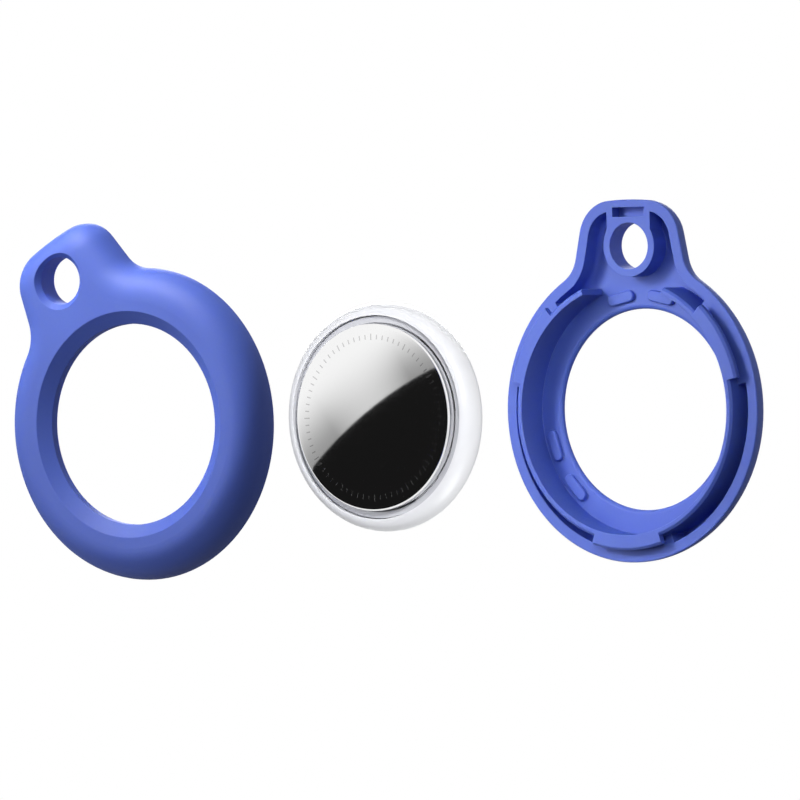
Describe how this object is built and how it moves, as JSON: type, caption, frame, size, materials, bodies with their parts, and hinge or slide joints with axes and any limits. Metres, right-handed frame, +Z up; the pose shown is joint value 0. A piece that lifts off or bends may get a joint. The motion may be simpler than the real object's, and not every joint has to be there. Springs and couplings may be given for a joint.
{
  "type": "tracker tag holder",
  "caption": "Key-ring holder for a round tracker tag, taken apart: bevelled ring front cover, steel-faced tag and rear cover with twist-lock lugs.",
  "frame": {"origin": "centre of the rear cover's key-ring hole, on the parting plane of the covers", "axes": "+Z up, from the ring to the key tab; +Y to the rear along the ring's axis, so the front faces -Y; +X to the right as seen from the front"},
  "size_m": [0.043, 0.125, 0.0511],
  "materials": {
    "cover_plastic": "moulded, fine matt, periwinkle blue",
    "housing_plastic": "moulded, glossy white",
    "polished_steel": "pressed stainless steel, mirror polished",
    "ring_plastic": "moulded black",
    "tray_plastic": "moulded, matt pale grey",
    "seal_rubber": "moulded silicone",
    "cell_steel": "nickel plated steel",
    "gasket_plastic": "moulded polypropylene",
    "electrode_mix": "pressed powder",
    "contact_metal": "gold flashed spring alloy",
    "board_laminate": "glass and resin laminate with solder mask",
    "chip_resin": "moulded resin",
    "chip_ceramic": "fired ceramic",
    "magnet_metal": "nickel plated magnet",
    "coil_copper": "enamelled wire"
  },
  "bodies": {
    "rear_cover": {"rear_cover": "cover_plastic"},
    "tag": {"tag_housing": "housing_plastic", "battery_tray": "tray_plastic", "tray_seal": "seal_rubber", "cell_can": "cell_steel", "cell_cap": "cell_steel", "cell_gasket": "gasket_plastic", "cell_electrodes": "electrode_mix", "positive_contacts": "contact_metal", "negative_contact": "contact_metal", "circuit_board": "board_laminate", "ranging_module": "chip_resin", "radio_chip": "chip_resin", "board_passives": "chip_ceramic", "antenna_carrier": "tray_plastic", "magnet_yoke": "cell_steel", "speaker_magnet": "magnet_metal", "voice_coil": "coil_copper"},
    "battery_cover": {"battery_cover": "polished_steel", "battery_cover_ring": "ring_plastic"},
    "front_cover": {"front_cover": "cover_plastic"}
  },
  "joints": [
    {"name": "tag_slide", "type": "slide", "parent": "rear_cover", "child": "tag", "axis": [0, 1, 0], "range_m": [0, 0.06]},
    {"name": "lock_twist", "type": "hinge", "parent": "tag", "child": "battery_cover", "pos_m": [0, -0.058, -0.02306], "axis": [0, 1, 0], "range_deg": [0, 30]},
    {"name": "cover_slide", "type": "slide", "parent": "battery_cover", "child": "front_cover", "axis": [0, 1, 0], "range_m": [0, 0.056]}
  ]
}
